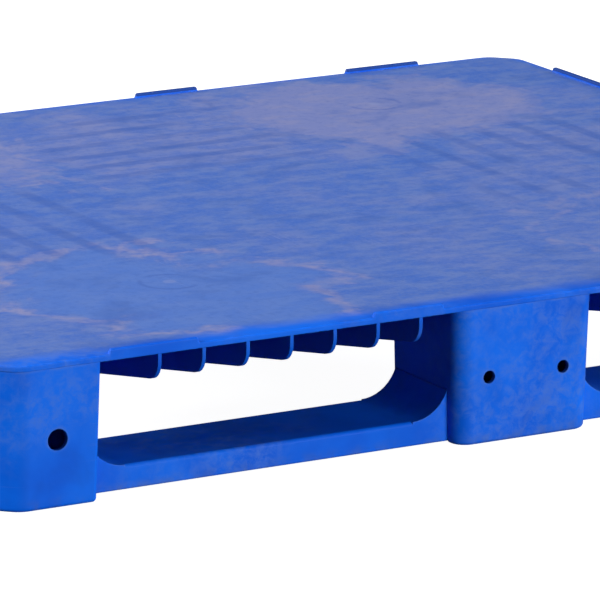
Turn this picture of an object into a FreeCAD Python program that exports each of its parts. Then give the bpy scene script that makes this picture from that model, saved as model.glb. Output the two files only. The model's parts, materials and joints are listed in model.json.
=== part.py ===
import FreeCAD, Part
import math
import os

# Four-way plastic pallet with a closed deck, nine feet and three runners.
# Millimetres. The origin is on the floor under the middle of the deck.
# +X runs along the long side, +Y towards the back long side, +Z up.

# Deck
deck_length = 1200.0
deck_width = 1000.0
deck_top = 147.0
deck_thickness = 6.0
corner_chamfer = 28.0
chamfer_corner_radius = 26.0
deck_edge_round = 2.2

# Rim tabs that stand on the edge of the deck
tab_height = 5.0
tab_thickness = 6.0
tab_ramp = 2.0
tab_edge_round = 1.8
long_side_tabs = [(-475.0, -376.0), (-179.0, -98.0), (98.0, 179.0), (376.0, 475.0)]
short_side_tabs = [(-393.0, -281.0), (281.0, 393.0)]

# Ribs under the deck
rib_thickness = 4.0
rib_pitch = 49.2
rib_setback = 4.0
rib_bottom = 92.0
nose_start = 131.0
nose_radius = 20.0
ramp_end = 125.0
edge_rib_inset = 132.0
ribs_along_y_each_side = 9
ribs_along_x_each_side = 7

# Feet
foot_inset = 0.5
corner_foot_length = 116.0
outer_foot_depth = 130.5
centre_foot_length = 162.0
middle_foot_depth = 158.0
foot_draft = 3.0
foot_wall = 5.0
foot_roof = 4.0
foot_bottom_round = 4.5
front_corner_radius = 18.0
small_corner_radius = 5.0
web_thickness = 4.0
web_bottom = 47.0
corner_web_shift = 15.0

# Holes in the outer faces of the feet
hole_height = 69.0
corner_hole_radius = 10.8
corner_hole_offset = 531.0
centre_hole_radius = 6.75
centre_hole_offset = 43.6

# Runners, which hang a little above the floor that the feet stand on
runner_bottom = 2.0
runner_height = 25.0
runner_width = 100.0
runner_setback = 24.0
runner_end_gap = 16.0
runner_skin = 4.0
runner_rib_pitch = 49.2
saddle_radius = 42.0
saddle_lip = 4.0
runner_top_edge_round = 4.0
runner_bottom_edge_round = 2.0

# Screws that hold the runners to the feet
post_radius = 9.0
boss_radius = 10.0
screw_radius = 3.0
screw_hole_radius = 3.3
screw_top = 62.0
pilot_depth = 40.0
counterbore_radius = 6.8
counterbore_depth = 7.0
head_radius = 6.0
head_height = 4.0
socket_flats = 5.0
socket_depth = 2.5
screw_offset_y = 28.0
corner_screw_offset = 30.0
centre_screw_offset = 45.0

half_length = deck_length / 2
half_width = deck_width / 2
deck_underside = deck_top - deck_thickness
rim_top = deck_top + tab_height
runner_top = runner_bottom + runner_height
counterbore_top = runner_bottom + counterbore_depth

corner_foot_centre_x = half_length - foot_inset - corner_foot_length / 2
corner_foot_face = half_length - foot_inset - corner_foot_length
centre_foot_face = centre_foot_length / 2
outer_runner_y = half_width - runner_setback - runner_width / 2


def box(x_low, x_high, y_low, y_high, z_low, z_high):
    corner = FreeCAD.Vector(x_low, y_low, z_low)
    return Part.makeBox(x_high - x_low, y_high - y_low, z_high - z_low, corner)


def cylinder(x, y, z_low, z_high, radius):
    return Part.makeCylinder(radius, z_high - z_low, FreeCAD.Vector(x, y, z_low))


def prism(points, direction):
    """A solid swept from a closed outline of (x, y, z) points."""
    vectors = [FreeCAD.Vector(*point) for point in points]
    outline = Part.makePolygon(vectors + [vectors[0]])
    return Part.Face(outline).extrude(FreeCAD.Vector(*direction))


def rounded_outline(corners, z):
    """A closed flat wire through (x, y, radius) corners, each rounded by its radius."""
    edges = []
    starts = []
    ends = []
    for index, (x, y, radius) in enumerate(corners):
        here = FreeCAD.Vector(x, y, z)
        before = FreeCAD.Vector(corners[index - 1][0], corners[index - 1][1], z)
        following = corners[(index + 1) % len(corners)]
        after = FreeCAD.Vector(following[0], following[1], z)
        towards_before = (before - here).normalize()
        towards_after = (after - here).normalize()
        half_angle = towards_before.getAngle(towards_after) / 2
        reach = radius / math.tan(half_angle)
        start = here + towards_before * reach
        end = here + towards_after * reach
        bisector = (towards_before + towards_after).normalize()
        middle = here + bisector * (radius / math.sin(half_angle) - radius)
        edges.append(Part.Arc(start, middle, end).toShape())
        starts.append(start)
        ends.append(end)
    outline = []
    for index, arc in enumerate(edges):
        outline.append(arc)
        outline.append(Part.makeLine(ends[index], starts[(index + 1) % len(starts)]))
    return Part.Wire(outline)


def loft(lower, upper):
    return Part.makeLoft([lower, upper], True, True)


def write(name, shape):
    shape.exportStep("parts/" + name + ".step")


# ---------------------------------------------------------------- feet

def foot_corners(x_low, x_high, y_low, y_high, style, inset):
    """Plan corners of a foot, anticlockwise, drawn in by an inset on every side."""
    x_low = x_low + inset
    x_high = x_high - inset
    y_low = y_low + inset
    y_high = y_high - inset
    small = small_corner_radius
    large = front_corner_radius
    if style == "corner":
        cut = corner_chamfer - (foot_inset + inset) * (2 - math.sqrt(2))
        return [
            (x_low, y_low + cut, chamfer_corner_radius),
            (x_low + cut, y_low, chamfer_corner_radius),
            (x_high, y_low, small),
            (x_high, y_high, small),
            (x_low, y_high, small),
        ]
    if style == "outer_centre":
        return [
            (x_low, y_low, large),
            (x_high, y_low, large),
            (x_high, y_high, small),
            (x_low, y_high, small),
        ]
    return [
        (x_low, y_low, small),
        (x_high, y_low, small),
        (x_high, y_high, small),
        (x_low, y_high, small),
    ]


def foot_body(limits, style):
    """The outside of a foot, a little narrower at the floor than under the deck."""
    lower = rounded_outline(foot_corners(*limits, style, foot_draft), 0.0)
    upper = rounded_outline(foot_corners(*limits, style, 0.0), deck_underside)
    return loft(lower, upper)


def foot_cavity(limits, style):
    """The hollow of a foot, open at the floor."""
    lower = rounded_outline(foot_corners(*limits, style, foot_draft + foot_wall), -2.0)
    upper = rounded_outline(foot_corners(*limits, style, foot_wall), deck_underside - foot_roof)
    return loft(lower, upper)


def round_floor_edges(body):
    """Rounds the outer edges of a foot where it stands on the floor."""
    floor_edges = [edge for edge in body.Edges if edge.BoundBox.ZMax < 0.01]
    return body.makeFillet(foot_bottom_round, floor_edges)


def screw_points(centre_x, centre_y, offset_x):
    points = []
    for side_x in (-1, 1):
        for side_y in (-1, 1):
            points.append((centre_x + side_x * offset_x, centre_y + side_y * screw_offset_y))
    return points


def make_foot(plan, body, runner_y):
    """A hollow foot with a roof, two crossed webs and four screw posts."""
    cavity = foot_cavity(plan["limits"], plan["style"])
    x_low, x_high, y_low, y_high = plan["limits"]
    web_x = (x_low + x_high) / 2 - plan["web_shift"]
    half_web = web_thickness / 2
    inside = [
        box(web_x - half_web, web_x + half_web, y_low, y_high, web_bottom, deck_underside),
        box(x_low, x_high, runner_y - half_web, runner_y + half_web, web_bottom, deck_underside),
    ]
    for x, y in plan["screws"]:
        inside.append(cylinder(x, y, runner_top, deck_underside, post_radius))
    filling = inside[0].multiFuse(inside[1:]).common(cavity)
    foot = round_floor_edges(body).cut(cavity).fuse(filling)
    cuts = [runner_space(runner_y)]
    for x, y in plan["screws"]:
        cuts.append(cylinder(x, y, runner_top - 1, runner_top + pilot_depth, screw_radius))
    for x, face_y, radius in plan["holes"]:
        cuts.append(wall_hole(x, face_y, radius))
    return foot.cut(cuts).removeSplitter()


def wall_hole(x, face_y, radius):
    """The round bore of a hole through the wall behind a foot's outer face."""
    clear = 10.0
    start = FreeCAD.Vector(x, face_y - clear, hole_height)
    length = clear + foot_draft + foot_wall + 1
    return Part.makeCylinder(radius, length, start, FreeCAD.Vector(0, 1, 0))


def runner_space(runner_y):
    """The room a runner takes up along the whole pallet, down to the floor and below."""
    end = half_length - runner_end_gap
    half = runner_width / 2
    return box(-end, end, runner_y - half, runner_y + half, -1.0, runner_top)


# ---------------------------------------------------------------- runners

def saddle(face_x, side, runner_y):
    """The curved rise from a runner's top to the side of a foot, before trimming to the foot."""
    half = runner_width / 2
    inner = face_x - side * foot_wall
    outer = face_x + side * (saddle_radius - saddle_lip)
    x_low = min(inner, outer)
    x_high = max(inner, outer)
    saddle_top = runner_top + saddle_radius
    block = box(x_low, x_high, runner_y - half, runner_y + half, runner_top - 1, saddle_top)
    axis_start = FreeCAD.Vector(outer, runner_y - half - 1, saddle_top)
    hollow = Part.makeCylinder(saddle_radius, runner_width + 2, axis_start, FreeCAD.Vector(0, 1, 0))
    return block.cut(hollow)


def runner_pockets(runner_y):
    """Two rows of pockets that open towards the floor, with ribs between them."""
    end = half_length - runner_end_gap - runner_skin
    half_rib = rib_thickness / 2
    depth = runner_width / 2 - runner_skin - half_rib
    pockets_each_side = math.ceil(end / runner_rib_pitch)
    pockets = []
    for y_low in (runner_y - half_rib - depth, runner_y + half_rib):
        for index in range(-pockets_each_side, pockets_each_side):
            x_low = max(index * runner_rib_pitch + half_rib, -end)
            x_high = min((index + 1) * runner_rib_pitch - half_rib, end)
            pockets.append(box(x_low, x_high, y_low, y_low + depth, 0.0, runner_top - runner_skin))
    return Part.makeCompound(pockets)


def bar_length(x_low, x_high, runner_y, rounded_top):
    """A length of a runner's outside, rounded along its bottom edges and, if asked, its top edges."""
    half = runner_width / 2
    bar = box(x_low, x_high, runner_y - half, runner_y + half, runner_bottom, runner_top)
    long_edges = [edge for edge in bar.Edges if edge.BoundBox.XLength > 1]
    lower = [edge for edge in long_edges if edge.BoundBox.ZMax < runner_bottom + 0.01]
    bar = bar.makeFillet(runner_bottom_edge_round, lower)
    if not rounded_top:
        return bar
    long_edges = [edge for edge in bar.Edges if edge.BoundBox.XLength > 1]
    upper = [edge for edge in long_edges if edge.BoundBox.ZMin > runner_top - 0.01]
    return bar.makeFillet(runner_top_edge_round, upper)


def runner_bar(runner_y):
    """The outside of a runner: square topped under the feet and rounded in the open spans."""
    end = half_length - runner_end_gap
    reach = saddle_radius - saddle_lip
    outer = corner_foot_face - reach
    inner = centre_foot_face + reach
    stops = [-end, -outer, -inner, inner, outer, end]
    lengths = []
    for index in range(len(stops) - 1):
        lengths.append(bar_length(stops[index], stops[index + 1], runner_y, index in (1, 3)))
    return lengths[0].multiFuse(lengths[1:]).removeSplitter()


def make_runner(runner_y, foot_bodies, screws):
    """A bar with a closed top, pockets underneath and a saddle against the side of every foot."""
    saddles = []
    for side in (-1, 1):
        saddles.append(saddle(side * corner_foot_face, -side, runner_y))
        saddles.append(saddle(side * centre_foot_face, side, runner_y))
    risers = Part.makeCompound(saddles).cut(foot_bodies)
    bosses = [cylinder(x, y, runner_bottom, runner_top - 1, boss_radius) for x, y in screws]
    runner = runner_bar(runner_y).cut(runner_pockets(runner_y)).multiFuse(bosses + risers.Solids)
    cuts = []
    for x, y in screws:
        cuts.append(cylinder(x, y, 0.0, runner_top + 1, screw_hole_radius))
        cuts.append(cylinder(x, y, 0.0, counterbore_top, counterbore_radius))
    return runner.cut(cuts).removeSplitter()


def make_screw(x, y):
    """A screw with a flat round head and a hexagon socket, head down."""
    head_bottom = counterbore_top - head_height
    head = cylinder(x, y, head_bottom, counterbore_top, head_radius)
    shank = cylinder(x, y, counterbore_top, screw_top, screw_radius)
    reach = socket_flats / math.sqrt(3)
    corners = []
    for index in range(6):
        angle = math.radians(60 * index)
        corners.append((x + reach * math.cos(angle), y + reach * math.sin(angle), head_bottom))
    socket = prism(corners, (0, 0, socket_depth))
    return head.cut(socket).fuse(shank).removeSplitter()


# ---------------------------------------------------------------- deck

def deck_plate():
    """The closed load surface, with its corners cut off and its upper edge rounded."""
    x = half_length
    y = half_width
    short_x = x - corner_chamfer
    short_y = y - corner_chamfer
    front = [(-short_x, -y), (short_x, -y), (x, -short_y)]
    back = [(x, short_y), (short_x, y), (-short_x, y)]
    left = [(-x, short_y), (-x, -short_y)]
    outline = [(point_x, point_y, deck_underside) for point_x, point_y in front + back + left]
    plate = prism(outline, (0, 0, deck_thickness))
    upright = [edge for edge in plate.Edges if edge.BoundBox.ZLength > 1]
    plate = plate.makeFillet(chamfer_corner_radius, upright)
    rim = [edge for edge in plate.Edges if edge.BoundBox.ZMin > deck_top - 0.01]
    return plate.makeFillet(deck_edge_round, rim)


def tab_outline(start, end):
    """(distance along the deck's side, height) points of a low lip with sloping ends."""
    foot = deck_top - 2 * deck_edge_round
    top_start = start + tab_ramp
    top_end = end - tab_ramp
    return [
        (start, foot),
        (start, deck_top),
        (top_start, rim_top),
        (top_end, rim_top),
        (end, deck_top),
        (end, foot),
    ]


def round_tab(tab):
    """Rounds the edges round the top and the sloping ends of a tab."""
    upper = [edge for edge in tab.Edges if edge.BoundBox.ZMax > rim_top - 0.01]
    return tab.makeFillet(tab_edge_round, upper)


def rim_tabs():
    """The upstanding lips that keep a load from sliding off the deck."""
    tabs = []
    for side in (-1, 1):
        outer_y = side * half_width
        outer_x = side * half_length
        for start, end in long_side_tabs:
            points = [(along, outer_y, z) for along, z in tab_outline(start, end)]
            tabs.append(round_tab(prism(points, (0, -side * tab_thickness, 0))))
        for start, end in short_side_tabs:
            points = [(outer_x, along, z) for along, z in tab_outline(start, end)]
            tabs.append(round_tab(prism(points, (-side * tab_thickness, 0, 0))))
    return tabs


def rib_along_x(y, x_low, x_high):
    half = rib_thickness / 2
    return box(x_low, x_high, y - half, y + half, rib_bottom, deck_underside)


def rib_along_y(x, y_low, y_high):
    half = rib_thickness / 2
    return box(x - half, x + half, y_low, y_high, rib_bottom, deck_underside)


def rib_nose_profile():
    """(distance inwards from the deck's edge, height) points of the space under a rib's outer end."""
    clear = 5.0
    centre = rib_setback + nose_radius
    slope = math.atan2(nose_start - nose_radius - rib_bottom, ramp_end - centre)
    points = [(-clear, rib_bottom - clear), (-clear, nose_start), (rib_setback, nose_start)]
    steps = 8
    for step in range(1, steps + 1):
        angle = math.pi + (math.pi / 2 - slope) * step / steps
        inwards = centre + nose_radius * math.cos(angle)
        points.append((inwards, nose_start + nose_radius * math.sin(angle)))
    points.append((ramp_end, rib_bottom))
    points.append((ramp_end, rib_bottom - clear))
    return points


def rib_nose_spaces():
    """The spaces cut away below the outer ends of the ribs on all four sides of the pallet."""
    profile = rib_nose_profile()
    spaces = []
    for side in (-1, 1):
        along_x = [(-half_length, side * (half_width - inwards), z) for inwards, z in profile]
        spaces.append(prism(along_x, (deck_length, 0, 0)))
        along_y = [(side * (half_length - inwards), -half_width, z) for inwards, z in profile]
        spaces.append(prism(along_y, (0, deck_width, 0)))
    return spaces


def rib_grid():
    """Crossed ribs under the deck with rising noses at the edges, and one edge rib behind the noses."""
    ribs = []
    end_x = half_length - rib_setback
    end_y = half_width - rib_setback
    edge_rib_x = half_length - edge_rib_inset
    edge_rib_y = half_width - edge_rib_inset
    for side in (-1, 1):
        for index in range(ribs_along_y_each_side):
            ribs.append(rib_along_y(side * rib_pitch * (index + 0.5), -end_y, end_y))
        for index in range(ribs_along_x_each_side):
            ribs.append(rib_along_x(side * rib_pitch * (index + 0.5), -end_x, end_x))
        ribs.append(rib_along_y(side * edge_rib_x, -edge_rib_y, edge_rib_y))
        ribs.append(rib_along_x(side * edge_rib_y, -edge_rib_x, edge_rib_x))
    return ribs[0].multiFuse(ribs[1:]).cut(rib_nose_spaces())


def foot_rooms(foot_limits):
    """The rib-free blocks where the feet fit, reaching the deck's edge above the outer feet."""
    rooms = []
    for x_low, x_high, y_low, y_high in foot_limits:
        x_low = -half_length if x_low < -half_length + 2 * foot_inset else x_low
        x_high = half_length if x_high > half_length - 2 * foot_inset else x_high
        y_low = -half_width if y_low < -half_width + 2 * foot_inset else y_low
        y_high = half_width if y_high > half_width - 2 * foot_inset else y_high
        rooms.append(box(x_low, x_high, y_low, y_high, 0.0, deck_underside))
    return rooms


def make_deck(foot_limits):
    """The deck plate with its tabs on top and its rib grid below, open where the feet fit."""
    grid = rib_grid().cut(foot_rooms(foot_limits))
    pieces = rim_tabs() + grid.Solids
    return deck_plate().multiFuse(pieces).removeSplitter()


# ---------------------------------------------------------------- assembly

def flipped(shape, flip_x, flip_y):
    """A copy of a shape, mirrored left to right and front to back as asked."""
    result = shape.copy()
    if flip_x:
        result = result.mirror(FreeCAD.Vector(0, 0, 0), FreeCAD.Vector(1, 0, 0))
    if flip_y:
        result = result.mirror(FreeCAD.Vector(0, 0, 0), FreeCAD.Vector(0, 1, 0))
    return result


def flipped_limits(limits, flip_x, flip_y):
    """Plan limits mirrored in the same way as a shape."""
    x_low, x_high, y_low, y_high = limits
    if flip_x:
        x_low, x_high = -x_high, -x_low
    if flip_y:
        y_low, y_high = -y_high, -y_low
    return (x_low, x_high, y_low, y_high)


def main():
    os.makedirs("parts", exist_ok=True)
    corner_x = corner_foot_centre_x
    half_corner = corner_foot_length / 2
    half_centre = centre_foot_length / 2
    half_middle = middle_foot_depth / 2
    outer_low = -half_width + foot_inset
    outer_high = outer_low + outer_foot_depth
    front_y = -outer_runner_y

    # Each plan is drawn once at the front left and mirrored to its other places, in this order:
    # as drawn, left to right, front to back, and both.
    corner_plan = {
        "style": "corner",
        "limits": (-corner_x - half_corner, -corner_x + half_corner, outer_low, outer_high),
        "screws": screw_points(-corner_x, front_y, corner_screw_offset),
        "holes": [(-corner_hole_offset, outer_low, corner_hole_radius)],
        "web_shift": corner_web_shift,
        "places": ("front_left", "front_right", "back_left", "back_right"),
    }
    centre_plan = {
        "style": "outer_centre",
        "limits": (-half_centre, half_centre, outer_low, outer_high),
        "screws": screw_points(0.0, front_y, centre_screw_offset),
        "holes": [(side * centre_hole_offset, outer_low, centre_hole_radius) for side in (-1, 1)],
        "web_shift": 0.0,
        "places": ("front_centre", None, "back_centre", None),
    }
    side_plan = {
        "style": "plain",
        "limits": (-corner_x - half_corner, -corner_x + half_corner, -half_middle, half_middle),
        "screws": screw_points(-corner_x, 0.0, corner_screw_offset),
        "holes": [],
        "web_shift": 0.0,
        "places": ("middle_left", "middle_right", None, None),
    }
    hub_plan = {
        "style": "plain",
        "limits": (-half_centre, half_centre, -half_middle, half_middle),
        "screws": screw_points(0.0, 0.0, centre_screw_offset),
        "holes": [],
        "web_shift": 0.0,
        "places": ("middle_centre", None, None, None),
    }

    mirrors = ((False, False), (True, False), (False, True), (True, True))
    bodies = []
    all_limits = []
    screws_of_row = {"front": [], "middle": [], "back": []}
    for plan in (corner_plan, centre_plan, side_plan, hub_plan):
        body = foot_body(plan["limits"], plan["style"])
        runner_y = 0.0 if plan["style"] == "plain" else front_y
        foot = make_foot(plan, body, runner_y)
        screw_set = Part.makeCompound([make_screw(x, y) for x, y in plan["screws"]])
        for place, (flip_x, flip_y) in zip(plan["places"], mirrors):
            if place is None:
                continue
            bodies.append(flipped(body, flip_x, flip_y))
            all_limits.append(flipped_limits(plan["limits"], flip_x, flip_y))
            write("foot_" + place, flipped(foot, flip_x, flip_y))
            write("screws_" + place, flipped(screw_set, flip_x, flip_y))
            sign_x = -1 if flip_x else 1
            sign_y = -1 if flip_y else 1
            row = place.split("_")[0]
            screws_of_row[row] += [(sign_x * x, sign_y * y) for x, y in plan["screws"]]

    write("runner_front", make_runner(front_y, bodies, screws_of_row["front"]))
    write("runner_middle", make_runner(0.0, bodies, screws_of_row["middle"]))
    write("runner_back", make_runner(-front_y, bodies, screws_of_row["back"]))
    write("deck", make_deck(all_limits))


main()
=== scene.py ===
import json
import math

import bpy
from mathutils import Matrix, Vector


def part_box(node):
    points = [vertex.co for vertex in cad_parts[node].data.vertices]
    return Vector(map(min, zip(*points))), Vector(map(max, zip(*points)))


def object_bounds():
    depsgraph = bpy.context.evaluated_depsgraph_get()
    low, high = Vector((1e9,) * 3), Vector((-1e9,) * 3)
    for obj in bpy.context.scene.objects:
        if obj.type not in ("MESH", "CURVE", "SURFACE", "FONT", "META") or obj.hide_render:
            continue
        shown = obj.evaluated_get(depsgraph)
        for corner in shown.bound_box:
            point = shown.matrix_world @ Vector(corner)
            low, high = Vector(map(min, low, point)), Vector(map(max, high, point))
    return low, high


# Looks of a used four-way plastic pallet. Metres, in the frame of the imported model:
# the origin is on the floor under the middle of the deck, X along the long side, Z up.

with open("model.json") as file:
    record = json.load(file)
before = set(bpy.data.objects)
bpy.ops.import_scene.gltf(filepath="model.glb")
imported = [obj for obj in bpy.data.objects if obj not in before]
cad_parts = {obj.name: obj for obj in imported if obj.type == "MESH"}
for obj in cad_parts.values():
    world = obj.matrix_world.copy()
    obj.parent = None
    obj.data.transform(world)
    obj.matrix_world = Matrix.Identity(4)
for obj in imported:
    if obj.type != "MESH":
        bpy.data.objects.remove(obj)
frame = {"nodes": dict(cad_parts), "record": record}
cad_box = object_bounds()

MATERIAL_SLOTS = {part["node"]: part["material_slot"] for part in frame["record"]["subparts"]}

# Camera: where it looks, from how far and from which side
CAMERA_AZIMUTH = 30.27
CAMERA_ELEVATION = 14.24
CAMERA_ROLL = 0.44
CAMERA_DISTANCE = 6.093
CAMERA_LENS = 374.4
CAMERA_SENSOR = 36.0
CAMERA_AIM_X = -0.2641
CAMERA_AIM_Z = 0.1756

# The deck and its ribs
DECK_HALF_LENGTH = cad_box[1].x
DECK_HALF_WIDTH = cad_box[1].y
TAB_HEIGHT = 0.005
RIB_PITCH = 0.0492

# Plastic and metal finishes: gloss, depth of the surface grain and softness of the edges
PLASTIC_IOR = 1.49
PLASTIC_GLOSS = 0.11
DECK_GLOSS = 0.10
GRAIN_STRENGTH = 0.30
GRAIN_DEPTH = 0.0006
TURNING_STRENGTH = 0.25
TURNING_DEPTH = 0.0002
SOFT_EDGE = 0.0016
BEVEL_SAMPLES = 6

# How each finish differs: seed of its patterns, strength and reach of its rubbed edges
DECK_WEAR = (1.0, 0.20, 0.003)
FOOT_WEAR = (4.0, 0.55, 0.006)
RUNNER_WEAR = (7.0, 0.45, 0.003)
SCREW_EDGE_REACH = 0.0006

# Patches round the deck's gates and the gate marks: centre x, centre y, radius x, radius y
NEAR_LEFT_PATCH = (-0.295, -0.300, 0.150, 0.185)
NEAR_RIGHT_PATCH = (0.300, -0.310, 0.150, 0.170)
FAR_LEFT_PATCH = (-0.270, 0.310, 0.165, 0.165)
FAR_RIGHT_PATCH = (0.300, 0.325, 0.170, 0.165)
GATES = ((-0.285, -0.275, 0.030, 0.030), (0.322, 0.340, 0.030, 0.030))


def srgb(red, green, blue):
    """Linear colour with alpha from 0 to 255 display values."""
    def linear(value):
        value = value / 255
        if value <= 0.04045:
            return value / 12.92
        return ((value + 0.055) / 1.055) ** 2.4
    return (linear(red), linear(green), linear(blue), 1.0)


# Colours of the plastic's clean and worn faces
DEEP_BLUE = srgb(2, 88, 214)
FRESH_BLUE = srgb(6, 104, 232)
SCUFFED_BLUE = srgb(78, 118, 206)
GRIMY_BLUE = srgb(10, 58, 160)
SCRAPED_BLUE = srgb(96, 130, 212)
RUBBED_BLUE = srgb(88, 124, 200)
FLOOR_DIRT = srgb(82, 98, 138)

# Colours of the trodden deck
TRODDEN_BLUE = srgb(68, 108, 194)
PALE_TRODDEN_BLUE = srgb(96, 124, 192)
SPECKLE = srgb(108, 128, 188)
DUST = srgb(130, 136, 184)
PATCH_RIM = srgb(148, 146, 184)
CLEAN_PATCH = srgb(88, 124, 200)
STAIN = srgb(62, 96, 172)
RIB_BAR = srgb(58, 92, 172)
GATE_RING = srgb(58, 90, 170)
GATE_DOT = srgb(138, 150, 198)
SCRATCH = srgb(140, 152, 202)
# Painted shade for the ribs under the deck top
RIB_PAINTED_SHADE = srgb(4, 52, 140)
DUSTY_TAB = srgb(34, 62, 128)

# Colours of the screws
ZINC = srgb(176, 180, 184)
BRIGHT_ZINC = srgb(206, 208, 206)
ZINC_STAIN = srgb(140, 132, 112)
RUBBED_ZINC = srgb(226, 228, 230)

# Floor and sky of the studio, as linear colours
FLOOR_HALF = 40.0
FLOOR_PAPER = (0.40, 0.40, 0.41, 1.0)
FLOOR_GLOW = 0.97
SKY = (0.90, 0.95, 1.0, 1.0)
SKY_STRENGTH = 0.08

# Softboxes: name, place, point it faces, width, height and watts
SOFTBOXES = (
    ("key", (1.3, -6.2, 0.95), (0.0, -0.3, 0.08), 3.0, 0.6, 315.0),
    ("left", (-4.0, 0.3, 2.0), (-0.4, -0.1, 0.10), 1.6, 1.2, 130.0),
    ("top", (0.2, 0.4, 3.8), (0.0, 0.0, 0.1), 2.6, 2.6, 58.0),
    ("right", (4.2, -1.0, 1.3), (0.3, 0.0, 0.1), 1.6, 1.0, 75.0),
    ("back", (-3.4, 4.6, 2.2), (0.0, 0.2, 0.1), 2.4, 1.2, 170.0),
)


# ---------------------------------------------------------------- shader graph

class Graph:
    """A material's node tree, with one short method for each kind of node that is used."""

    def __init__(self, name):
        self.material = bpy.data.materials.new(name)
        self.material.use_nodes = True
        self.tree = self.material.node_tree
        self.tree.nodes.clear()
        self.output = self.tree.nodes.new("ShaderNodeOutputMaterial")
        self.shader = self.tree.nodes.new("ShaderNodeBsdfPrincipled")
        self.tree.links.new(self.shader.outputs["BSDF"], self.output.inputs["Surface"])
        place = self.tree.nodes.new("ShaderNodeTexCoord")
        self.place = place.outputs["Object"]
        self.normal = self.tree.nodes.new("ShaderNodeNewGeometry").outputs["Normal"]

    def feed(self, socket, value):
        """Links a node's output to a socket, or sets the socket to a plain value."""
        if isinstance(value, bpy.types.NodeSocket):
            self.tree.links.new(value, socket)
        else:
            socket.default_value = value

    def math(self, operation, first, second=0.0):
        node = self.tree.nodes.new("ShaderNodeMath")
        node.operation = operation
        for socket, value in zip(node.inputs, (first, second)):
            self.feed(socket, value)
        return node.outputs[0]

    def add(self, first, second):
        return self.math("ADD", first, second)

    def subtract(self, first, second):
        return self.math("SUBTRACT", first, second)

    def times(self, first, second):
        return self.math("MULTIPLY", first, second)

    def strongest(self, first, second):
        return self.math("MAXIMUM", first, second)

    def opposite(self, value):
        return self.math("SUBTRACT", 1.0, value)

    def split(self, vector):
        node = self.tree.nodes.new("ShaderNodeSeparateXYZ")
        self.feed(node.inputs[0], vector)
        return node.outputs[0], node.outputs[1], node.outputs[2]

    def stretched(self, x, y, z, turn=0.0, shift=(0.0, 0.0, 0.0)):
        """The place on the object, turned about Z and scaled along each axis."""
        node = self.tree.nodes.new("ShaderNodeMapping")
        node.inputs["Location"].default_value = shift
        node.inputs["Rotation"].default_value = (0.0, 0.0, math.radians(turn))
        node.inputs["Scale"].default_value = (x, y, z)
        self.feed(node.inputs["Vector"], self.place)
        return node.outputs[0]

    def noise(self, scale, detail=3.0, roughness=0.55, where=None, warp=0.0):
        node = self.tree.nodes.new("ShaderNodeTexNoise")
        node.inputs["Scale"].default_value = scale
        node.inputs["Detail"].default_value = detail
        node.inputs["Roughness"].default_value = roughness
        node.inputs["Distortion"].default_value = warp
        self.feed(node.inputs["Vector"], self.place if where is None else where)
        return node.outputs["Fac"]

    def ramp(self, value, low, high, bottom=0.0, top=1.0):
        """A smooth step of value from low to high, between bottom and top."""
        node = self.tree.nodes.new("ShaderNodeMapRange")
        node.interpolation_type = "SMOOTHSTEP"
        settings = (value, low, high, bottom, top)
        names = ("Value", "From Min", "From Max", "To Min", "To Max")
        for name, setting in zip(names, settings):
            self.feed(node.inputs[name], setting)
        return node.outputs[0]

    def mix(self, share, first, second):
        """A colour between first and second."""
        node = self.tree.nodes.new("ShaderNodeMix")
        node.data_type = "RGBA"
        self.feed(node.inputs[0], share)
        self.feed(node.inputs[6], first)
        self.feed(node.inputs[7], second)
        return node.outputs[2]

    def edge_wear(self, radius):
        """1 on outer and inner edges, falling to 0 on flat faces further than radius from one."""
        bevel = self.tree.nodes.new("ShaderNodeBevel")
        bevel.samples = BEVEL_SAMPLES
        bevel.inputs["Radius"].default_value = radius
        dot = self.tree.nodes.new("ShaderNodeVectorMath")
        dot.operation = "DOT_PRODUCT"
        self.feed(dot.inputs[0], bevel.outputs[0])
        self.feed(dot.inputs[1], self.normal)
        return self.ramp(self.opposite(dot.outputs["Value"]), 0.01, 0.16)

    def bump(self, height, strength, distance, under=None):
        node = self.tree.nodes.new("ShaderNodeBump")
        node.inputs["Strength"].default_value = strength
        node.inputs["Distance"].default_value = distance
        self.feed(node.inputs["Height"], height)
        if under is not None:
            self.feed(node.inputs["Normal"], under)
        return node.outputs[0]

    def soft_edges(self):
        """A normal that rounds off sharp edges."""
        node = self.tree.nodes.new("ShaderNodeBevel")
        node.samples = BEVEL_SAMPLES
        node.inputs["Radius"].default_value = SOFT_EDGE
        return node.outputs[0]

    def finish(self, colour, roughness, normal):
        self.feed(self.shader.inputs["Base Color"], colour)
        self.feed(self.shader.inputs["Roughness"], roughness)
        self.feed(self.shader.inputs["Normal"], normal)
        return self.material


# ---------------------------------------------------------------- moulded plastic

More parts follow.
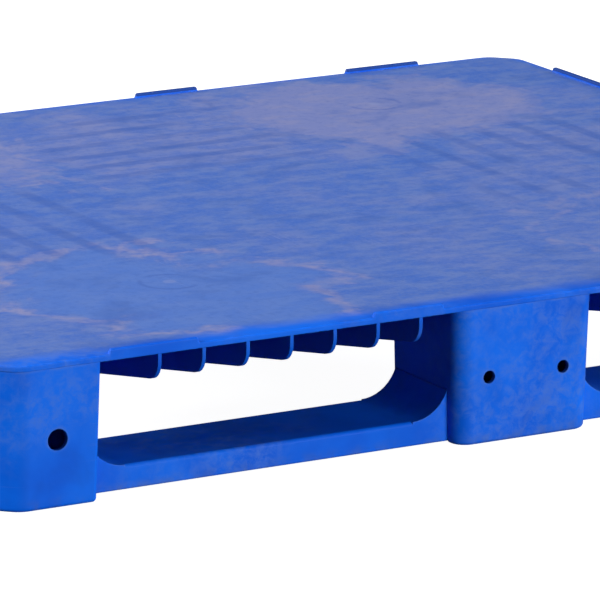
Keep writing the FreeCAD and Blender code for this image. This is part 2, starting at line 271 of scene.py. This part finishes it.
def moulded_plastic(graph, seed, rubbing, rub_reach):
    """Blue plastic with cloudy pigment, soft scuffs, rubbed edges and dirt near the floor."""
    shift = (seed * 1.7, seed * 0.9, seed * 2.3)
    here = graph.stretched(1.0, 1.0, 1.0, shift=shift)
    clouds = graph.noise(9.0, detail=4.0, where=here)
    colour = graph.mix(graph.ramp(clouds, 0.34, 0.66), DEEP_BLUE, FRESH_BLUE)

    # Soft pale scuffs lie in mottled drifts
    drifts = graph.ramp(graph.noise(6.0, detail=2.0, where=here), 0.36, 0.64)
    mottle = graph.noise(84.0, detail=6.0, roughness=0.68, where=here, warp=0.4)
    chalk = graph.times(drifts, graph.ramp(mottle, 0.36, 0.72))
    colour = graph.mix(graph.times(chalk, 0.68), colour, SCUFFED_BLUE)

    # Darker handled patches
    grime = graph.ramp(graph.noise(15.0, detail=3.0, where=here, warp=0.5), 0.52, 0.74)
    colour = graph.mix(graph.times(grime, 0.22), colour, GRIMY_BLUE)

    # Thin scrapes run along the faces
    along = graph.stretched(5.0, 5.0, 240.0, shift=shift)
    scrapes = graph.ramp(graph.noise(1.0, detail=4.0, roughness=0.6, where=along), 0.62, 0.76)
    scrape_mask = graph.times(scrapes, graph.ramp(graph.noise(4.0, where=here), 0.50, 0.68))
    colour = graph.mix(graph.times(scrape_mask, 0.30), colour, SCRAPED_BLUE)

    # Rubbed edges
    edge = graph.edge_wear(rub_reach)
    rub = graph.times(edge, graph.ramp(graph.noise(38.0, detail=3.0, where=here), 0.34, 0.64))
    colour = graph.mix(graph.times(rub, rubbing), colour, RUBBED_BLUE)

    # Dirt just above the floor
    height = graph.split(graph.place)[2]
    low = graph.opposite(graph.ramp(height, 0.001, 0.016))
    dirt = graph.times(low, graph.ramp(graph.noise(38.0, detail=4.0, where=here), 0.42, 0.68))
    colour = graph.mix(graph.times(dirt, 0.40), colour, FLOOR_DIRT)

    grain = graph.noise(900.0, detail=2.0, roughness=0.6)
    roughness = graph.ramp(clouds, 0.3, 0.7, 0.48, 0.58)
    roughness = graph.add(roughness, graph.times(chalk, 0.18))
    roughness = graph.add(roughness, graph.times(rub, 0.08))
    relief = graph.add(graph.times(grain, 0.35), graph.times(graph.noise(120.0, detail=3.0), 0.65))
    relief = graph.subtract(relief, graph.times(scrape_mask, 0.6))
    return colour, roughness, relief


def set_plastic_gloss(graph, level):
    graph.shader.inputs["IOR"].default_value = PLASTIC_IOR
    graph.shader.inputs["Specular IOR Level"].default_value = level


def plain_plastic(name, wear):
    """The finish of the feet and runners, with the wear given as seed, rubbing and reach."""
    graph = Graph(name)
    colour, roughness, relief = moulded_plastic(graph, *wear)
    normal = graph.bump(relief, GRAIN_STRENGTH, GRAIN_DEPTH, graph.soft_edges())
    set_plastic_gloss(graph, PLASTIC_GLOSS)
    return graph.finish(colour, roughness, normal)


# ---------------------------------------------------------------- dusty deck

def from_gate(graph, x, y, gate, wobble=0.0):
    """0 at a gate's centre and 1 on the wandering outline of the patch round it."""
    centre_x, centre_y, radius_x, radius_y = gate
    across = graph.math("DIVIDE", graph.subtract(x, centre_x), radius_x)
    along = graph.math("DIVIDE", graph.subtract(y, centre_y), radius_y)
    square = graph.add(graph.times(across, across), graph.times(along, along))
    return graph.add(graph.math("SQRT", square), wobble)


def ring(graph, distance, centre, width):
    """A soft ring where distance is near centre."""
    off = graph.math("ABSOLUTE", graph.subtract(distance, centre))
    return graph.opposite(graph.ramp(off, 0.0, width))


def inside(graph, distance, soft_from, soft_to):
    """1 where distance is small, fading to 0 between the two soft limits."""
    return graph.opposite(graph.ramp(distance, soft_from, soft_to))


def window(graph, value, low, high, soft):
    """1 between low and high, fading to 0 over a soft margin outside them."""
    rise = graph.ramp(value, low - soft, low)
    fall = graph.opposite(graph.ramp(value, high, high + soft))
    return graph.times(rise, fall)


def deck_marks(graph, x, y):
    """Dust, rims, rib bars, smears, cleaner patch and gate marks of the deck, from 0 to 1 each."""
    wander = graph.noise(6.0, detail=5.0, roughness=0.62, warp=0.5)
    wobble = graph.times(graph.subtract(wander, 0.5), 2.1)
    near_left = from_gate(graph, x, y, NEAR_LEFT_PATCH, wobble)
    near_right = from_gate(graph, x, y, NEAR_RIGHT_PATCH, wobble)
    far_left = from_gate(graph, x, y, FAR_LEFT_PATCH, wobble)
    far_right = from_gate(graph, x, y, FAR_RIGHT_PATCH, wobble)

    dust = graph.times(inside(graph, far_right, 0.75, 1.05), 0.85)
    dust = graph.strongest(dust, graph.times(inside(graph, far_left, 0.75, 1.0), 0.70))
    dust = graph.strongest(dust, graph.times(inside(graph, near_right, 0.75, 1.0), 0.25))

    # Drifts of dust that thin out towards the front
    drift = graph.noise(4.5, detail=5.0, roughness=0.62, warp=0.8)
    drift = graph.times(graph.ramp(drift, 0.40, 0.66), graph.ramp(y, -0.40, 0.50, 0.30, 0.80))
    dust = graph.strongest(dust, graph.times(drift, 0.75))
    smear = graph.noise(1.0, detail=5.0, roughness=0.65, where=graph.stretched(24.0, 40.0, 20.0, turn=8.0))
    smear = graph.ramp(smear, 0.36, 0.66)
    dust = graph.times(dust, graph.ramp(smear, 0.0, 1.0, 0.60, 1.10))
    dust = graph.strongest(dust, graph.times(inside(graph, far_right, 0.72, 1.10), 0.74))
    dust = graph.strongest(dust, graph.times(inside(graph, far_left, 0.72, 1.08), 0.50))
    clean = inside(graph, near_left, 0.68, 1.02)
    dust = graph.times(dust, graph.opposite(graph.times(clean, 0.85)))

    rims = graph.times(ring(graph, near_left, 1.0, 0.16), 0.95)
    rims = graph.strongest(rims, graph.times(ring(graph, near_right, 1.0, 0.12), 0.55))
    rims = graph.strongest(rims, graph.times(ring(graph, far_left, 0.97, 0.12), 0.70))
    rims = graph.strongest(rims, graph.times(ring(graph, far_right, 0.98, 0.10), 0.45))
    rims = graph.times(rims, graph.ramp(graph.noise(26.0, detail=3.0, roughness=0.6), 0.34, 0.62))

    # Bars where the ribs below show through, between the patches
    turns = 2 * math.pi / RIB_PITCH
    bars_x = graph.math("SINE", graph.times(graph.add(y, graph.times(wobble, 0.005)), turns))
    bars_y = graph.math("SINE", graph.times(graph.add(x, graph.times(wobble, 0.005)), turns))
    bars_x = graph.times(graph.ramp(bars_x, 0.1, 0.9), window(graph, x, -0.11, 0.14, 0.06))
    bars_x = graph.times(bars_x, window(graph, y, 0.18, 0.40, 0.06))
    bars_y = graph.times(graph.ramp(bars_y, 0.1, 0.9), window(graph, y, -0.11, 0.17, 0.06))
    bars_y = graph.times(bars_y, graph.ramp(graph.math("ABSOLUTE", x), 0.16, 0.24))
    faded = graph.ramp(graph.noise(8.0, detail=3.0), 0.36, 0.56)
    bars = graph.times(graph.strongest(bars_x, bars_y), faded)

    # Round gate marks with a pale middle
    gates = [from_gate(graph, x, y, gate) for gate in GATES]
    broken = graph.ramp(graph.noise(30.0, detail=2.0), 0.42, 0.56)
    gate_rings = graph.strongest(ring(graph, gates[0], 1.0, 0.16), ring(graph, gates[1], 1.0, 0.16))
    gate_rings = graph.times(gate_rings, broken)
    gate_dots = graph.strongest(inside(graph, gates[0], 0.14, 0.30), inside(graph, gates[1], 0.14, 0.30))
    return dust, rims, bars, smear, clean, gate_rings, gate_dots


def deck_plastic(name):
    """Clean moulded plastic on the sides and below, scuffed and dusty on the top face."""
    graph = Graph(name)
    colour, roughness, relief = moulded_plastic(graph, *DECK_WEAR)
    x, y, z = graph.split(graph.place)
    dust, rims, bars, smear, clean, gate_rings, gate_dots = deck_marks(graph, x, y)

    top = graph.mix(smear, TRODDEN_BLUE, PALE_TRODDEN_BLUE)
    speckle = graph.ramp(graph.noise(230.0, detail=3.0, roughness=0.7), 0.35, 0.75, 0.0, 0.42)
    top = graph.mix(speckle, top, SPECKLE)
    top = graph.mix(dust, top, DUST)
    top = graph.mix(graph.times(rims, 0.72), top, PATCH_RIM)
    top = graph.mix(graph.times(clean, 0.62), top, CLEAN_PATCH)
    stains = graph.ramp(graph.noise(12.0, detail=4.0, roughness=0.6, warp=0.5), 0.52, 0.70)
    top = graph.mix(graph.times(stains, 0.35), top, STAIN)
    flecks = graph.ramp(graph.noise(95.0, detail=4.0, roughness=0.66), 0.48, 0.68)
    top = graph.mix(graph.times(flecks, 0.26), top, STAIN)
    top = graph.mix(graph.times(bars, 0.42), top, RIB_BAR)
    top = graph.mix(graph.times(gate_rings, 0.40), top, GATE_RING)
    top = graph.mix(graph.times(gate_dots, 0.35), top, GATE_DOT)

    # Fine crossing scratches
    scratch_a = graph.noise(1.0, detail=3.0, where=graph.stretched(9.0, 420.0, 9.0, turn=24.0))
    scratch_b = graph.noise(1.0, detail=3.0, where=graph.stretched(360.0, 8.0, 9.0, turn=-16.0))
    scratches = graph.strongest(graph.ramp(scratch_a, 0.62, 0.74), graph.ramp(scratch_b, 0.64, 0.76))
    top = graph.mix(graph.times(scratches, 0.18), top, SCRATCH)

    # The worn face is the flat top only. It gives way to clean plastic along the front edge.
    facing_up = graph.ramp(graph.split(graph.normal)[2], 0.93, 0.995)
    flat_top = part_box("deck")[1].z - TAB_HEIGHT
    below_tabs = graph.opposite(graph.ramp(z, flat_top + 0.0015, flat_top + 0.0025))
    above_ribs = graph.ramp(z, flat_top - 0.0045, flat_top - 0.0015)
    uneven = graph.times(graph.subtract(graph.noise(20.0, detail=3.0), 0.5), 0.030)
    from_front = graph.add(graph.add(y, DECK_HALF_WIDTH), uneven)
    from_back = graph.add(graph.subtract(DECK_HALF_WIDTH, y), uneven)
    from_side = graph.subtract(DECK_HALF_LENGTH, graph.math("ABSOLUTE", x))
    from_side = graph.add(from_side, uneven)
    inwards = graph.times(graph.ramp(from_front, 0.006, 0.044), graph.ramp(from_back, 0.0, 0.016, 0.4))
    inwards = graph.times(inwards, graph.ramp(from_side, 0.0, 0.016, 0.4))
    worn = graph.times(graph.times(facing_up, inwards), graph.times(below_tabs, above_ribs))

    # The ribs below the rim get painted shade, a little darker than the rim, and the tabs are dustier
    # towards the far corner
    # Painted shade: darker towards the bottom of the ribs, below the rim
    below_rim = graph.opposite(graph.ramp(z, flat_top - 0.0185, flat_top - 0.0025))
    colour = graph.mix(graph.times(below_rim, 0.32), colour, RIB_PAINTED_SHADE)
    far_corner = graph.ramp(graph.add(x, y), 0.10, 0.50)
    tab_dust = graph.times(graph.opposite(below_tabs), far_corner)
    colour = graph.mix(graph.times(tab_dust, 0.85), colour, DUSTY_TAB)
    colour = graph.mix(worn, colour, top)
    top_roughness = graph.ramp(dust, 0.0, 1.0, 0.52, 0.72)
    roughness = graph.add(graph.times(roughness, graph.opposite(worn)), graph.times(top_roughness, worn))
    relief = graph.add(relief, graph.times(graph.times(bars, 0.4), worn))
    relief = graph.subtract(relief, graph.times(graph.times(scratches, 0.5), worn))
    normal = graph.bump(relief, GRAIN_STRENGTH, GRAIN_DEPTH, graph.soft_edges())
    set_plastic_gloss(graph, DECK_GLOSS)
    return graph.finish(colour, roughness, normal)


# ---------------------------------------------------------------- screws

def zinc_steel(name):
    """Zinc-plated steel with turning marks, dull patches and bright edges."""
    graph = Graph(name)
    blotches = graph.ramp(graph.noise(240.0, detail=4.0), 0.35, 0.65)
    colour = graph.mix(blotches, ZINC, BRIGHT_ZINC)
    stain = graph.ramp(graph.noise(90.0, detail=3.0), 0.56, 0.74)
    colour = graph.mix(graph.times(stain, 0.5), colour, ZINC_STAIN)
    edge = graph.edge_wear(SCREW_EDGE_REACH)
    colour = graph.mix(graph.times(edge, 0.6), colour, RUBBED_ZINC)
    roughness = graph.ramp(blotches, 0.0, 1.0, 0.28, 0.44)
    turning = graph.noise(1.0, detail=2.0, where=graph.stretched(300.0, 300.0, 2400.0))
    normal = graph.bump(turning, TURNING_STRENGTH, TURNING_DEPTH)
    graph.shader.inputs["Metallic"].default_value = 1.0
    return graph.finish(colour, roughness, normal)


def dress_nodes():
    """Gives every CAD node the finish of its material slot."""
    finishes = {
        "deck_plastic": deck_plastic("deck_plastic_finish"),
        "foot_plastic": plain_plastic("foot_plastic_finish", FOOT_WEAR),
        "runner_plastic": plain_plastic("runner_plastic_finish", RUNNER_WEAR),
        "zinc_steel": zinc_steel("zinc_steel_finish"),
    }
    for name, node in frame["nodes"].items():
        node.data.materials.clear()
        node.data.materials.append(finishes[MATERIAL_SLOTS[name]])


# ---------------------------------------------------------------- studio

def make_floor():
    """A plain pale floor that reaches far behind the pallet."""
    half = FLOOR_HALF
    mesh = bpy.data.meshes.new("floor")
    corners = [(-half, -half, 0.0), (half, -half, 0.0), (half, half, 0.0), (-half, half, 0.0)]
    mesh.from_pydata(corners, [], [(0, 1, 2, 3)])
    floor = bpy.data.objects.new("floor", mesh)
    bpy.context.scene.collection.objects.link(floor)
    material = bpy.data.materials.new("floor_paper")
    material.use_nodes = True
    shader = material.node_tree.nodes["Principled BSDF"]
    shader.inputs["Base Color"].default_value = FLOOR_PAPER
    shader.inputs["Roughness"].default_value = 0.9
    shader.inputs["Specular IOR Level"].default_value = 0.0
    shader.inputs["Emission Color"].default_value = (1.0, 1.0, 1.0, 1.0)
    shader.inputs["Emission Strength"].default_value = FLOOR_GLOW
    mesh.materials.append(material)
    floor.visible_diffuse = False
    floor.visible_glossy = False


def make_softbox(name, place, aim, width, height, power):
    data = bpy.data.lights.new(name, "AREA")
    data.shape = "RECTANGLE"
    data.size = width
    data.size_y = height
    data.energy = power
    lamp = bpy.data.objects.new(name, data)
    lamp.location = place
    lamp.rotation_euler = (Vector(aim) - Vector(place)).to_track_quat("-Z", "Y").to_euler()
    bpy.context.scene.collection.objects.link(lamp)


def make_lights():
    for softbox in SOFTBOXES:
        make_softbox(*softbox)
    world = bpy.data.worlds.new("studio")
    world.use_nodes = True
    sky = world.node_tree.nodes["Background"]
    sky.inputs["Color"].default_value = SKY
    sky.inputs["Strength"].default_value = SKY_STRENGTH
    bpy.context.scene.world = world


def make_camera():
    """The camera stands back with a long lens and looks down on the front left corner."""
    azimuth = math.radians(CAMERA_AZIMUTH)
    elevation = math.radians(CAMERA_ELEVATION)
    roll = math.radians(CAMERA_ROLL)
    flat_ahead = Vector((math.sin(azimuth), math.cos(azimuth), 0.0))
    ahead = flat_ahead * math.cos(elevation) - Vector((0.0, 0.0, math.sin(elevation)))
    level = Vector((math.cos(azimuth), -math.sin(azimuth), 0.0))
    upright = level.cross(ahead)
    right = level * math.cos(roll) + upright * math.sin(roll)
    up = upright * math.cos(roll) - level * math.sin(roll)
    aim = Vector((CAMERA_AIM_X, cad_box[0].y, CAMERA_AIM_Z))
    data = bpy.data.cameras.new("camera")
    data.lens = CAMERA_LENS
    data.sensor_width = CAMERA_SENSOR
    data.clip_end = 200.0
    camera = bpy.data.objects.new("camera", data)
    turn = Matrix((right, up, -ahead)).transposed()
    camera.matrix_world = Matrix.Translation(aim - ahead * CAMERA_DISTANCE) @ turn.to_4x4()
    bpy.context.scene.collection.objects.link(camera)
    bpy.context.scene.camera = camera


bpy.context.scene.view_settings.view_transform = "Standard"
dress_nodes()
make_floor()
make_lights()
make_camera()
